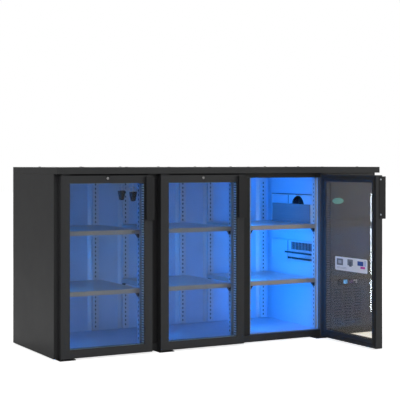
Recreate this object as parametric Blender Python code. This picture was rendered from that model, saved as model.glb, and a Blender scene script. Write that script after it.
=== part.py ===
"""Undercounter back-bar refrigerator: a low steel cabinet with three glass doors side by side and a
machine compartment at its right-hand end. The third door stands open.

Cabinet coordinates are used throughout: x from the cabinet's left end, y from the plane of the closed
doors' front faces towards the back, z from the floor. at() turns them into world coordinates, whose
origin is the middle of the floor area that the whole object covers, open door included.
"""

import math

import bmesh
import bpy
from mathutils import Matrix, Vector

# Driving dimensions, in metres
WIDTH = 1.876
DEPTH = 0.615
HEIGHT = 0.908
DOORS = 3
SHEET = 0.0012  # skins, folded parts
GAP = 0.0003  # between pieces that touch
FOOT_HEIGHT = 0.0055
FOOT_RADIUS = 0.022
FOOT_INSET = 0.060

CAP_HEIGHT = 0.032
CAP_DOOR_GAP = 0.008  # shadow gap between the cap and the doors
CAP_SCREWS = 8  # in the front row and in the back row
CAP_SCREW_INSET = 0.020
CAP_SCREW_FIRST = 0.137
CAP_SCREW_RADIUS = 0.0065
CAP_SCREW_PROUD = 0.002
FRAME_SETBACK = 0.0425  # from the door faces to the cabinet's front frame
FRAME_DEPTH = 0.022
HEADER_DROP = 0.056  # from the cap's top to the opening's upper edge
SILL_HEIGHT = 0.0355  # from the base to the opening's lower edge
FIRST_DOOR_X = 0.0212
DOOR_WIDTH = 0.474
DOOR_SPACE = 0.046  # between two closed doors
DOOR_LIFT = 0.004  # the doors end this far above the base
DOOR_THICKNESS = 0.0385
STILE = 0.0435
TOP_RAIL = 0.037
BOTTOM_RAIL = 0.041
GLASS_SETBACK = 0.006
GLASS_THICKNESS = 0.024
GLASS_BITE = 0.010  # how far the glass goes into the frame's groove
GASKET_INSET = 0.008
GASKET_WIDTH = 0.016
OPEN_ANGLE = math.radians(90.0)  # how far the third door stands open

PIVOT_INSET = 0.006  # hinge axis from the door's edge
PIVOT_SETBACK = 0.006  # hinge axis behind the door's front face
PIN_RADIUS = 0.004
PIN_CLEARANCE = 0.0004
PIN_LENGTH = 0.016
BRACKET_WIDTH = 0.080
BRACKET_THICKNESS = 0.0045
TAB_WIDTH = 0.044
TAB_THICKNESS = 0.003

HANDLE_HEIGHT = 0.210
HANDLE_DROP = 0.006  # from the door's top edge
HANDLE_WIDTH = 0.044
HANDLE_REACH = 0.020  # in front of the door, and back along its edge
HANDLE_SHEET = 0.002
HANDLE_LIP = 0.005
LOCK_RADIUS = 0.0095
LOCK_DROP = 0.013  # from the door's top edge to the lock's axis
LOCK_PROUD = 0.002
LOCK_LENGTH = 0.030

INNER_LEFT = 0.044  # liner's left wall
INNER_RIGHT = 1.512  # liner's right wall
INNER_BACK = 0.570
FLOOR_RISE = 0.002  # liner floor above the opening's lower edge
LINER = 0.0008
PARTITION = 0.035  # insulated wall towards the machine compartment

MULLION_WIDTH = 0.074
UPRIGHT_OFFSET = 0.0588  # mullion plane to the slotted face of a front upright
UPRIGHT_FRONT = 0.0725
UPRIGHT_DEPTH = 0.0265
BACK_UPRIGHT_OFFSET = 0.087
BACK_UPRIGHT_WIDTH = 0.035
BACK_UPRIGHT_DEPTH = 0.020
UPRIGHT_WALL = 0.0015
UPRIGHT_END_GAP = 0.004

SHELF_DROPS = (0.306, 0.595)  # from the cap's top to each shelf's top
SHELF_LIP = 0.022
SHELF_CLEARANCE = 0.0017  # beside each front upright
SHELF_FRONT = 0.070
SHELF_BACK = 0.546

LAMP_WIDTH = 0.018
LAMP_DEPTH = 0.020
LAMP_LOW = 0.094
LAMP_HIGH = 0.766

COOLER_FRONT = 0.1015  # evaporator cover on the liner's right wall
COOLER_BACK = 0.504
COOLER_LOW = 0.3925
COOLER_HIGH = 0.760
COOLER_PROUD = 0.012
COOLER_PLATE = 0.0025  # the cover's plate between its two boxes
POCKET_DEPTH = 0.235
POCKET_MARGIN = 0.012
FAN_Y = 0.237
FAN_Z = 0.690
FAN_RADIUS = 0.0595
DEFLECTOR_LOW = 0.6045
DEFLECTOR_HIGH = 0.7045
DEFLECTOR_BACK = 0.484
DEFLECTOR_REACH = 0.010
UPPER_BOX_LOW = 0.598
RETURN_TOP = 0.502
RETURN_SLOTS = 14
RETURN_LOW = 0.452
RETURN_HIGH = 0.494
RETURN_BACK = 0.306

LOUVRE_COLUMNS = 3
LOUVRE_ROWS = 13
LOUVRE_LENGTH = 0.046
LOUVRE_HEIGHT = 0.006
LOUVRE_PITCH_X = 0.065
LOUVRE_PITCH_Z = 0.0154
LOUVRE_LOW = 0.060
LOUVRE_SHIFT = 0.009  # from the panel's middle towards the doors

COMPRESSOR_RADIUS = 0.085
COMPRESSOR_HEIGHT = 0.205
CONDENSER_THICKNESS = 0.050
CONDENSER_FAN_RADIUS = 0.110
CONTROLLER_WIDTH = 0.132
CONTROLLER_HEIGHT = 0.034
CONTROLLER_Z = 0.287
CONTROLLER_PROUD = 0.004
KEYS = ("key_set", "key_up", "key_down")
KEY_WIDTH = 0.010
KEY_HEIGHT = 0.007
KEY_CLEARANCE = 0.0004
KEY_PROUD = 0.0018

# Worked-out positions, in cabinet coordinates
BASE_Z = FOOT_HEIGHT
CAP_Z = HEIGHT - CAP_HEIGHT
DOOR_LOW = BASE_Z + DOOR_LIFT
DOOR_HIGH = CAP_Z - CAP_DOOR_GAP
OPENING_LOW = BASE_Z + SILL_HEIGHT
OPENING_HIGH = HEIGHT - HEADER_DROP
FLOOR_Z = OPENING_LOW + FLOOR_RISE
FRAME_BACK = FRAME_SETBACK + FRAME_DEPTH
PITCH = DOOR_WIDTH + DOOR_SPACE
MACHINE_X = INNER_RIGHT + PARTITION
SIDE_FLANGE = 0.0125
SKIN = SHEET + GAP
MACHINE_MIDDLE = (MACHINE_X + WIDTH - SIDE_FLANGE) / 2
LOUVRE_MIDDLE = MACHINE_MIDDLE - LOUVRE_SHIFT


def mullion_plane(i):
    """x of the plane midway between door i and the next one; 0 and DOORS give the two ends."""
    return FIRST_DOOR_X - DOOR_SPACE / 2 + i * PITCH


def swung(dx, dy, angle):
    """A point given from a hinge axis, after the door has turned by this angle about it."""
    return Vector(
        (dx * math.cos(angle) - dy * math.sin(angle), dx * math.sin(angle) + dy * math.cos(angle))
    )


def open_reach():
    """How far the open third door and its handle stand in front of the closed doors."""
    free = -(DOOR_WIDTH - PIVOT_INSET)
    corners = (
        (free - GAP - HANDLE_SHEET, HANDLE_REACH - PIVOT_SETBACK),
        (free - GAP - HANDLE_SHEET, -HANDLE_REACH - PIVOT_SETBACK),
        (free, DOOR_THICKNESS - PIVOT_SETBACK),
    )
    return -PIVOT_SETBACK - min(swung(dx, dy, OPEN_ANGLE).y for dx, dy in corners)


FRONT_Y = (open_reach() - DEPTH) / 2


def at(x, y, z):
    """World position of a point given in cabinet coordinates."""
    return Vector((x - WIDTH / 2, y + FRONT_Y, z))


# Materials

FINISHES = {
    "painted steel": ((0.045, 0.045, 0.043), 0.45, 0.6),
    "door paint": ((0.055, 0.055, 0.053), 0.4, 0.6),
    "black steel": ((0.010, 0.010, 0.010), 0.35, 0.4),
    "stainless steel": ((0.55, 0.56, 0.57), 0.3, 1.0),
    "zinc": ((0.50, 0.51, 0.52), 0.4, 1.0),
    "aluminium": ((0.75, 0.76, 0.78), 0.35, 1.0),
    "copper": ((0.72, 0.35, 0.20), 0.35, 1.0),
    "foam": ((0.80, 0.72, 0.45), 0.9, 0.0),
    "black plastic": ((0.015, 0.015, 0.015), 0.5, 0.0),
    "white plastic": ((0.80, 0.85, 0.90), 0.4, 0.0),
    "rubber": ((0.020, 0.020, 0.020), 0.8, 0.0),
    "glass": ((0.55, 0.65, 0.70), 0.05, 0.0),
    "chrome": ((0.80, 0.80, 0.80), 0.1, 1.0),
}


def material(name):
    """The named finish as a Principled material, made once."""
    found = bpy.data.materials.get(name)
    if found:
        return found
    colour, roughness, metallic = FINISHES[name]
    made = bpy.data.materials.new(name)
    made.use_nodes = True
    shader = made.node_tree.nodes["Principled BSDF"]
    shader.inputs["Base Color"].default_value = (*colour, 1.0)
    shader.inputs["Roughness"].default_value = roughness
    shader.inputs["Metallic"].default_value = metallic
    return made


# Modelling helpers. Each takes its sizes in the frame of its parent: the world, or a hinge's empty.


def new_object(name, mesh, finish, location, parent=None):
    obj = bpy.data.objects.new(name, mesh)
    bpy.context.scene.collection.objects.link(obj)
    obj.location = location
    obj.parent = parent
    if finish:
        mesh.materials.append(material(finish))
    return obj


def mesh_of(shape, name):
    bmesh.ops.recalc_face_normals(shape, faces=shape.faces)
    mesh = bpy.data.meshes.new(name)
    shape.to_mesh(mesh)
    shape.free()
    return mesh


def box(name, low, high, finish=None, parent=None):
    """A block between two corners, with its origin at its centre."""
    low, high = Vector(map(min, low, high)), Vector(map(max, low, high))
    shape = bmesh.new()
    bmesh.ops.create_cube(shape, size=1.0)
    bmesh.ops.scale(shape, vec=high - low, verts=shape.verts)
    return new_object(name, mesh_of(shape, name), finish, (low + high) / 2, parent)


def prism(name, outline, low, high, finish=None, parent=None):
    """An outline in x and y carried from z = low to z = high."""
    shape = bmesh.new()
    corners = [shape.verts.new((x, y, low)) for x, y in outline]
    face = shape.faces.new(corners)
    raised = bmesh.ops.extrude_face_region(shape, geom=[face])["geom"]
    moved = [v for v in raised if isinstance(v, bmesh.types.BMVert)]
    bmesh.ops.translate(shape, verts=moved, vec=(0, 0, high - low))
    return new_object(name, mesh_of(shape, name), finish, (0, 0, 0), parent)


def cylinder(name, start, end, radius, finish=None, parent=None, sides=24):
    """A round bar from one point to another, with its origin at its middle."""
    start, end = Vector(start), Vector(end)
    length = (end - start).length
    turn = Vector((0, 0, 1)).rotation_difference(end - start).to_matrix().to_4x4()
    shape = bmesh.new()
    bmesh.ops.create_cone(
        shape, cap_ends=True, segments=sides, radius1=radius, radius2=radius, depth=length, matrix=turn
    )
    mesh = mesh_of(shape, name)
    mesh.shade_smooth()
    mesh.set_sharp_from_angle(angle=math.radians(40))
    return new_object(name, mesh, finish, (start + end) / 2, parent)


def turned(name, profile, centre, finish, sides=24):
    """A solid of revolution about the vertical through centre. Its (radius, z) points start and end on it."""
    shape = bmesh.new()
    verts = [shape.verts.new((r, 0, z)) for r, z in profile]
    edges = [shape.edges.new(pair) for pair in zip(verts, verts[1:])]
    bmesh.ops.spin(
        shape, geom=verts + edges, axis=(0, 0, 1), cent=(0, 0, 0), angle=2 * math.pi, steps=sides
    )
    bmesh.ops.remove_doubles(shape, verts=shape.verts, dist=1e-5)
    mesh = mesh_of(shape, name)
    mesh.shade_smooth()
    mesh.set_sharp_from_angle(angle=math.radians(40))
    return new_object(name, mesh, finish, centre)


def helper(obj):
    obj.hide_render = True
    obj.display_type = "WIRE"
    return obj


def boolean(obj, operation, other):
    step = obj.modifiers.new(f"{operation.lower()} {other.name}", "BOOLEAN")
    step.operation = operation
    step.object = helper(other)


def cut(obj, *cutters):
    for cutter in cutters:
        boolean(obj, "DIFFERENCE", cutter)


def weld(obj, *others):
    for other in others:
        boolean(obj, "UNION", other)


def joined(name, objects):
    """Helpers that stay apart from each other, as one helper."""
    shape = bmesh.new()
    for obj in objects:
        start = len(shape.verts)
        shape.from_mesh(obj.data)
        shape.verts.ensure_lookup_table()
        bmesh.ops.translate(shape, verts=shape.verts[start:], vec=obj.location)
        bpy.data.objects.remove(obj)
    return new_object(name, mesh_of(shape, name), None, (0, 0, 0))


def channel(x0, x1, y0, y1, wall, opening):
    """Outline of a C channel filling a rectangle, open on its "-x", "+x" or "+y" side."""
    if opening == "+y":
        return (
            (x0, y0),
            (x1, y0),
            (x1, y1),
            (x1 - wall, y1),
            (x1 - wall, y0 + wall),
            (x0 + wall, y0 + wall),
            (x0 + wall, y1),
            (x0, y1),
        )
    near, far = (x0, x1) if opening == "+x" else (x1, x0)
    step = math.copysign(wall, far - near)
    return (
        (near, y0),
        (far, y0),
        (far, y0 + wall),
        (near + step, y0 + wall),
        (near + step, y1 - wall),
        (far, y1 - wall),
        (far, y1),
        (near, y1),
    )


def world(outline):
    return [at(x, y, 0).xy for x, y in outline]


# Cabinet


def front_post(name, near, far):
    """The folded post beside the opening, which ends under the header."""
    return box(name, at(near, FRAME_SETBACK, BASE_Z), at(far, FRAME_BACK, OPENING_HIGH - GAP))


def add_skins():
    top = CAP_Z - GAP
    outline = channel(0, SIDE_FLANGE, FRAME_SETBACK, DEPTH, SHEET, "+x")
    left = prism("side_panel_left", world(outline), BASE_Z, top, "painted steel")
    weld(left, front_post("left front post", SHEET / 2, INNER_LEFT))
    outline = channel(WIDTH - SIDE_FLANGE, WIDTH, FRAME_SETBACK, DEPTH, SHEET, "-x")
    prism("side_panel_right", world(outline), BASE_Z, top, "painted steel")

    back = box(
        "back_panel",
        at(SIDE_FLANGE + GAP, DEPTH - SHEET, BASE_Z),
        at(WIDTH - SIDE_FLANGE - GAP, DEPTH, top),
        "painted steel",
    )
    vents = [
        box(
            f"back vent {row}",
            at(MACHINE_MIDDLE - 0.09, DEPTH - 2 * SHEET, 0.12 + row * 0.03),
            at(MACHINE_MIDDLE + 0.09, DEPTH + SHEET, 0.13 + row * 0.03),
        )
        for row in range(6)
    ]
    cut(back, joined("back vents", vents))

    base = box(
        "base_pan",
        at(SKIN, FRAME_BACK + GAP, BASE_Z),
        at(WIDTH - SKIN, DEPTH - SHEET - GAP, BASE_Z + 0.025),
        "zinc",
    )
    cut(
        base,
        box(
            "base inside",
            at(SKIN + SHEET, FRAME_BACK + GAP + SHEET, BASE_Z + SHEET),
            at(WIDTH - SKIN - SHEET, DEPTH - 2 * SHEET - GAP, BASE_Z + 0.05),
        ),
    )
    sill = [
        box(name, at(INNER_LEFT + GAP, FRAME_SETBACK, BASE_Z), at(INNER_RIGHT - GAP, back, high))
        for name, back, high in (
            ("sill", FRAME_BACK, OPENING_LOW),
            ("sill root", FRAME_BACK + GAP + SHEET / 2, BASE_Z + 0.02),
        )
    ]
    weld(base, *sill)


def add_cap():
    """Folded lid: its nose hangs over the doors and is closed below, and the rest is open to the foam."""
    cap = box("top_cap", at(0, 0, CAP_Z), at(WIDTH, DEPTH, HEIGHT), "painted steel")
    inside_top = HEIGHT - SHEET
    nose = box(
        "cap nose inside",
        at(SHEET, SHEET, CAP_Z + SHEET),
        at(WIDTH - SHEET, FRAME_SETBACK, inside_top),
    )
    body = box(
        "cap inside",
        at(SHEET, FRAME_SETBACK - SHEET, CAP_Z - SHEET),
        at(WIDTH - SHEET, DEPTH - SHEET, inside_top),
    )
    cut(cap, nose, body)
    step = (WIDTH - 2 * CAP_SCREW_FIRST) / (CAP_SCREWS - 1)
    for y in (CAP_SCREW_INSET, DEPTH - CAP_SCREW_INSET):
        for n in range(CAP_SCREWS):
            x = CAP_SCREW_FIRST + n * step
            foot = at(x, y, inside_top + SHEET / 2)
            crown = at(x, y, HEIGHT + CAP_SCREW_PROUD)
            weld(cap, cylinder(f"cap screw {n} at {y:.3f}", foot, crown, CAP_SCREW_RADIUS, sides=10))


def add_foam():
    top = HEIGHT - SHEET - GAP
    low = BASE_Z + SHEET + GAP
    left = SKIN + SHEET + GAP
    back = DEPTH - 2 * SHEET - 2 * GAP
    front = FRAME_BACK + SHEET + 2 * GAP
    foam = box("insulation", at(left, front, low), at(MACHINE_X - GAP, back, top), "foam")
    block = box(
        "cooler block",
        at(INNER_RIGHT, front, COOLER_LOW - 0.02),
        at(INNER_RIGHT + POCKET_DEPTH + PARTITION, COOLER_BACK + PARTITION, COOLER_HIGH + 0.08),
    )
    weld(foam, block)
    skin = LINER + GAP
    cut(
        foam,
        box(
            "liner room",
            at(INNER_LEFT - skin, 0, FLOOR_Z - skin),
            at(INNER_RIGHT + skin, INNER_BACK + skin, OPENING_HIGH + skin),
        ),
        cooler_pocket("cooler pocket", INNER_RIGHT - 0.01),
    )


def cooler_pocket(name, x):
    return box(
        name,
        at(x, COOLER_FRONT + POCKET_MARGIN, COOLER_LOW + POCKET_MARGIN),
        at(INNER_RIGHT + POCKET_DEPTH, COOLER_BACK - POCKET_MARGIN, COOLER_HIGH - POCKET_MARGIN),
    )


def add_liner():
    front = FRAME_BACK + GAP
    liner = box(
        "inner_liner",
        at(INNER_LEFT - LINER, front, FLOOR_Z - LINER),
        at(INNER_RIGHT + LINER, INNER_BACK + LINER, OPENING_HIGH + LINER),
        "stainless steel",
    )
    cut(
        liner,
        box("liner inside", at(INNER_LEFT, 0, FLOOR_Z), at(INNER_RIGHT, INNER_BACK, OPENING_HIGH)),
        cooler_pocket("liner window", INNER_RIGHT - 0.01),
    )


def hinge_axis(i):
    """x of door i's hinge axis and the side that it hinges on: +1 for left, -1 for right."""
    left = FIRST_DOOR_X + i * PITCH
    if i == DOORS - 1:
        return left + DOOR_WIDTH - PIVOT_INSET, -1
    return left + PIVOT_INSET, 1


def add_front_header():
    """Bar over the opening, with a hinge tab and pin over each door."""
    header = box(
        "front_header",
        at(SIDE_FLANGE + GAP, FRAME_SETBACK, OPENING_HIGH),
        at(MACHINE_X - GAP, FRAME_BACK, CAP_Z - GAP),
        "painted steel",
    )
    tab_low = (CAP_Z + DOOR_HIGH - TAB_THICKNESS) / 2
    for i in range(DOORS):
        x, side = hinge_axis(i)
        tab = box(
            f"hinge tab {i + 1}",
            at(x - side * PIVOT_INSET, SHEET, tab_low),
            at(
                x + side * (TAB_WIDTH - PIVOT_INSET),
                FRAME_SETBACK + FRAME_DEPTH / 2,
                tab_low + TAB_THICKNESS,
            ),
        )
        pin = cylinder(
            f"hinge pin {i + 1}",
            at(x, PIVOT_SETBACK, tab_low - PIN_LENGTH),
            at(x, PIVOT_SETBACK, tab_low + TAB_THICKNESS / 2),
            PIN_RADIUS,
            sides=16,
        )
        weld(header, tab, pin)


def add_mullions():
    """Each mullion carries the slotted uprights of the compartments on both its sides."""
    half, wide = MULLION_WIDTH / 2, UPRIGHT_OFFSET
    back = UPRIGHT_FRONT + UPRIGHT_DEPTH
    for i in range(1, DOORS):
        x = mullion_plane(i)
        outline = (
            (x - half, FRAME_SETBACK),
            (x + half, FRAME_SETBACK),
            (x + half, UPRIGHT_FRONT),
            (x + wide, UPRIGHT_FRONT),
            (x + wide, back),
            (x - wide, back),
            (x - wide, UPRIGHT_FRONT),
            (x - half, UPRIGHT_FRONT),
        )
        prism(f"mullion_{i}", world(outline), FLOOR_Z + GAP, OPENING_HIGH - GAP, "stainless steel")


def add_uprights():
    low, high = FLOOR_Z + UPRIGHT_END_GAP, OPENING_HIGH - UPRIGHT_END_GAP
    y0, y1 = UPRIGHT_FRONT, UPRIGHT_FRONT + UPRIGHT_DEPTH
    left = channel(INNER_LEFT + GAP, mullion_plane(0) + UPRIGHT_OFFSET, y0, y1, UPRIGHT_WALL, "-x")
    right = channel(mullion_plane(DOORS) - UPRIGHT_OFFSET, INNER_RIGHT - GAP, y0, y1, UPRIGHT_WALL, "+x")
    prism("front_upright_left", world(left), low, high, "zinc")
    prism("front_upright_right", world(right), low, high, "zinc")
    half = BACK_UPRIGHT_WIDTH / 2
    for i in range(DOORS):
        for side, x in (
            ("left", mullion_plane(i) + BACK_UPRIGHT_OFFSET),
            ("right", mullion_plane(i + 1) - BACK_UPRIGHT_OFFSET),
        ):
            outline = channel(
                x - half,
                x + half,
                INNER_BACK - BACK_UPRIGHT_DEPTH,
                INNER_BACK - GAP,
                UPRIGHT_WALL,
                "+y",
            )
            prism(f"back_upright_{i + 1}_{side}", world(outline), low, high, "zinc")


def add_shelves():
    for i in range(DOORS):
        left = mullion_plane(i) + UPRIGHT_OFFSET + SHELF_CLEARANCE
        right = mullion_plane(i + 1) - UPRIGHT_OFFSET - SHELF_CLEARANCE
        for level, drop in zip(("upper", "lower"), SHELF_DROPS):
            top = HEIGHT - drop
            shelf = box(
                f"shelf_{i + 1}_{level}",
                at(left, SHELF_FRONT, top - SHELF_LIP),
                at(right, SHELF_BACK, top),
                "zinc",
            )
            cut(
                shelf,
                box(
                    f"under {shelf.name}",
                    at(left + SHEET, SHELF_FRONT + SHEET, top - 2 * SHELF_LIP),
                    at(right - SHEET, SHELF_BACK - SHEET, top - SHEET),
                ),
            )


def add_lamps():
    """An upright lamp stands on the left-hand wall of each compartment, just behind its front upright."""
    y0 = UPRIGHT_FRONT + UPRIGHT_DEPTH + GAP
    for i in range(DOORS):
        reach = mullion_plane(i) + UPRIGHT_OFFSET
        wall = max(INNER_LEFT + GAP, reach - LAMP_WIDTH)
        x1 = reach
        corner = LAMP_WIDTH / 4
        outline = (
            (wall, y0),
            (x1, y0),
            (x1, y0 + LAMP_DEPTH - corner),
            (x1 - corner, y0 + LAMP_DEPTH),
            (wall, y0 + LAMP_DEPTH),
        )
        prism(f"led_lamp_{i + 1}", world(outline), LAMP_LOW, LAMP_HIGH, "white plastic")


# Evaporator module on the liner's right wall


def fan(name, centre, axis, radius, depth, finish, blades=5):
    """Hub and pitched blades about a row axis, with the origin on that axis."""
    axis = Vector(axis)
    turn = Vector((0, 0, 1)).rotation_difference(axis).to_matrix().to_4x4()
    hub_radius = radius * 0.3
    hub = cylinder(name, axis * -depth / 2, axis * depth / 2, hub_radius, finish)
    hub.location = centre
    for n in range(blades):
        shape = bmesh.new()
        bmesh.ops.create_cube(shape, size=1.0)
        bmesh.ops.scale(
            shape, vec=(radius * 0.95 - hub_radius * 0.6, radius * 0.5, SHEET * 1.3), verts=shape.verts
        )
        pitch = Matrix.Rotation(math.radians(28), 4, "X")
        out = Matrix.Translation((radius * 0.95 / 2 + hub_radius * 0.3, 0, 0))
        around = Matrix.Rotation(2 * math.pi * n / blades, 4, "Z")
        bmesh.ops.transform(shape, matrix=turn @ around @ out @ pitch, verts=shape.verts)
        blade = new_object(f"{name} blade {n}", mesh_of(shape, "blade"), None, centre)
        weld(hub, blade)
    return hub


def add_evaporator():
    """The cover is a plate with two boxes: one over the fan, with a deflector, and one for the return."""
    face = INNER_RIGHT - COOLER_PROUD
    plate = INNER_RIGHT - COOLER_PLATE
    cover = box(
        "evaporator_cover",
        at(face, COOLER_FRONT, COOLER_LOW),
        at(INNER_RIGHT - GAP, COOLER_BACK, COOLER_HIGH),
        "stainless steel",
    )
    waist = box(
        "between the boxes",
        at(face - 0.01, COOLER_FRONT - 0.01, RETURN_TOP),
        at(plate, COOLER_BACK + 0.01, UPPER_BOX_LOW),
    )
    rooms = [
        box(
            f"inside the {name} box",
            at(face + SHEET, COOLER_FRONT + SHEET, low + SHEET),
            at(INNER_RIGHT + 0.01, COOLER_BACK - SHEET, high - SHEET),
        )
        for name, low, high in (
            ("return", COOLER_LOW, RETURN_TOP),
            ("fan", UPPER_BOX_LOW, COOLER_HIGH),
        )
    ]
    hole = cylinder(
        "fan opening",
        at(face - 0.005, FAN_Y, FAN_Z),
        at(face + 0.005, FAN_Y, FAN_Z),
        FAN_RADIUS,
        sides=28,
    )
    first = COOLER_FRONT + 0.005
    pitch = (RETURN_BACK - first) / RETURN_SLOTS
    slots = [
        box(
            f"return slot {n}",
            at(face - 0.005, first + n * pitch, RETURN_LOW),
            at(face + 0.005, first + (n + 0.7) * pitch, RETURN_HIGH),
        )
        for n in range(RETURN_SLOTS)
    ]
    cut(cover, waist, joined("cover rooms", rooms), hole, joined("return slots", slots))
    outline = channel(
        face - DEFLECTOR_REACH, face + SHEET / 2, COOLER_FRONT, DEFLECTOR_BACK, SHEET, "+x"
    )
    weld(cover, prism("deflector", world(outline), DEFLECTOR_LOW, DEFLECTOR_HIGH))

    fan(
        "evaporator_fan",
        at(INNER_RIGHT + 0.022, FAN_Y, FAN_Z),
        (1, 0, 0),
        FAN_RADIUS - 0.005,
        0.024,
        "black plastic",
    )

    x0 = INNER_RIGHT + 0.075
    x1 = INNER_RIGHT + POCKET_DEPTH - 0.020
    y0, y1 = COOLER_FRONT + 0.03, COOLER_BACK - 0.03
    fins = 14
    pitch = (y1 - y0) / fins
    outline = [(x0, y0), (x1, y0)]
    for n in range(fins):
        start = y0 + n * pitch
        outline += [(x1, start + 0.4 * pitch)]
        if n < fins - 1:
            outline += [
                (x0 + 0.02, start + 0.4 * pitch),
                (x0 + 0.02, start + pitch),
                (x1, start + pitch),
            ]
    outline += [(x0, outline[-1][1])]
    prism("evaporator_coil", world(outline), COOLER_LOW + 0.05, COOLER_HIGH - 0.04, "aluminium")


# Machine compartment


def add_machine_panel():
    left, right = MACHINE_X, WIDTH - SIDE_FLANGE - GAP
    outline = channel(left, right, FRAME_SETBACK, FRAME_BACK, SHEET, "+y")
    panel = prism("machine_panel", world(outline), BASE_Z, CAP_Z - GAP, "painted steel")
    weld(panel, front_post("right front post", INNER_RIGHT, left + SHEET / 2))
    first = LOUVRE_MIDDLE - (LOUVRE_COLUMNS - 1) / 2 * LOUVRE_PITCH_X - LOUVRE_LENGTH / 2
    slots = [
        box(
            f"louvre {column} {row}",
            at(first + column * LOUVRE_PITCH_X, FRAME_SETBACK - 0.005, LOUVRE_LOW + row * LOUVRE_PITCH_Z),
            at(
                first + column * LOUVRE_PITCH_X + LOUVRE_LENGTH,
                FRAME_SETBACK + 0.005,
                LOUVRE_LOW + row * LOUVRE_PITCH_Z + LOUVRE_HEIGHT,
            ),
        )
        for column in range(LOUVRE_COLUMNS)
        for row in range(LOUVRE_ROWS)
    ]
    cut(panel, joined("louvre slots", slots))


def key_place(n):
    """Cabinet x and z of the middle of key n on the controller."""
    x = LOUVRE_MIDDLE + CONTROLLER_WIDTH / 2 - 0.012
    return x - (n % 2) * 0.014, CONTROLLER_Z + (0.0055 if n < 2 else -0.0055)


def add_controller():
    """Electronic thermostat set on the machine panel, with a shallow well for each key."""
    y1 = FRAME_SETBACK - GAP
    y0 = y1 - CONTROLLER_PROUD
    bezel = box(
        "controller",
        at(LOUVRE_MIDDLE - CONTROLLER_WIDTH / 2, y0, CONTROLLER_Z - CONTROLLER_HEIGHT / 2),
        at(LOUVRE_MIDDLE + CONTROLLER_WIDTH / 2, y1, CONTROLLER_Z + CONTROLLER_HEIGHT / 2),
        "black plastic",
    )
    wells = []
    for n, name in enumerate(KEYS):
        x, z = key_place(n)
        half_x, half_z = KEY_WIDTH / 2, KEY_HEIGHT / 2
        wells.append(
            box(
                f"{name} well",
                at(x - half_x - KEY_CLEARANCE, y0 - 0.001, z - half_z - KEY_CLEARANCE),
                at(x + half_x + KEY_CLEARANCE, y1 - 0.0006, z + half_z + KEY_CLEARANCE),
            )
        )
        box(
            name,
            at(x - half_x, y0 - KEY_PROUD, z - half_z),
            at(x + half_x, y1 - 0.0006 - 0.0014, z + half_z),
            "black plastic",
        )
    cut(bezel, joined("key wells", wells))


def add_condensing_unit():
    wall = 0.020
    x0, x1 = MACHINE_X + wall, WIDTH - SKIN - wall
    y0 = FRAME_BACK + 0.018
    low = BASE_Z + 0.030
    high = COOLER_LOW - 0.045
    fins = 16
    pitch = (x1 - x0) / fins
    outline = [(x0, y0)]
    for n in range(fins):
        start = x0 + n * pitch
        outline += [(start + 0.4 * pitch, y0)]
        if n < fins - 1:
            outline += [
                (start + 0.4 * pitch, y0 + 0.02),
                (start + pitch, y0 + 0.02),
                (start + pitch, y0),
            ]
    end = outline[-1][0]
    outline += [(end, y0 + CONDENSER_THICKNESS), (x0, y0 + CONDENSER_THICKNESS)]
    prism("condenser", world(outline), low, high, "aluminium")

    fan_y = y0 + CONDENSER_THICKNESS + 0.035
    fan(
        "condenser_fan",
        at((x0 + end) / 2, fan_y, (low + high) / 2),
        (0, 1, 0),
        CONDENSER_FAN_RADIUS,
        0.036,
        "black plastic",
    )

    r, h = COMPRESSOR_RADIUS, COMPRESSOR_HEIGHT
    steps = 5
    dome = 0.045
    bend = [math.pi / 2 * n / steps for n in range(steps + 1)]
    lower = [(r * math.sin(t), dome * (1 - math.cos(t))) for t in bend]
    upper = [(r * math.cos(t), h - dome + dome * math.sin(t)) for t in bend]
    foot_z = BASE_Z + SHEET + GAP
    compressor = turned(
        "compressor",
        lower + upper,
        at(MACHINE_MIDDLE, DEPTH - 0.030 - r - 0.045, foot_z + 0.012),
        "black steel",
    )
    feet = box(
        "compressor feet",
        at(MACHINE_MIDDLE - 0.10, DEPTH - 0.075 - 2 * r + 0.02, foot_z),
        at(MACHINE_MIDDLE + 0.10, DEPTH - 0.075 - 0.02, foot_z + 0.016),
    )
    weld(compressor, feet)


def add_feet():
    for name, x in (("left", FOOT_INSET), ("right", WIDTH - FOOT_INSET)):
        for place, y in (("front", FRAME_BACK + FOOT_INSET), ("back", DEPTH - FOOT_INSET)):
            cylinder(
                f"foot_{place}_{name}",
                at(x, y, 0),
                at(x, y, BASE_Z - GAP),
                FOOT_RADIUS,
                "rubber",
                sides=16,
            )


# Doors. Each is built closed, in the frame of an empty on its hinge axis at the closed door's front.


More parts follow.
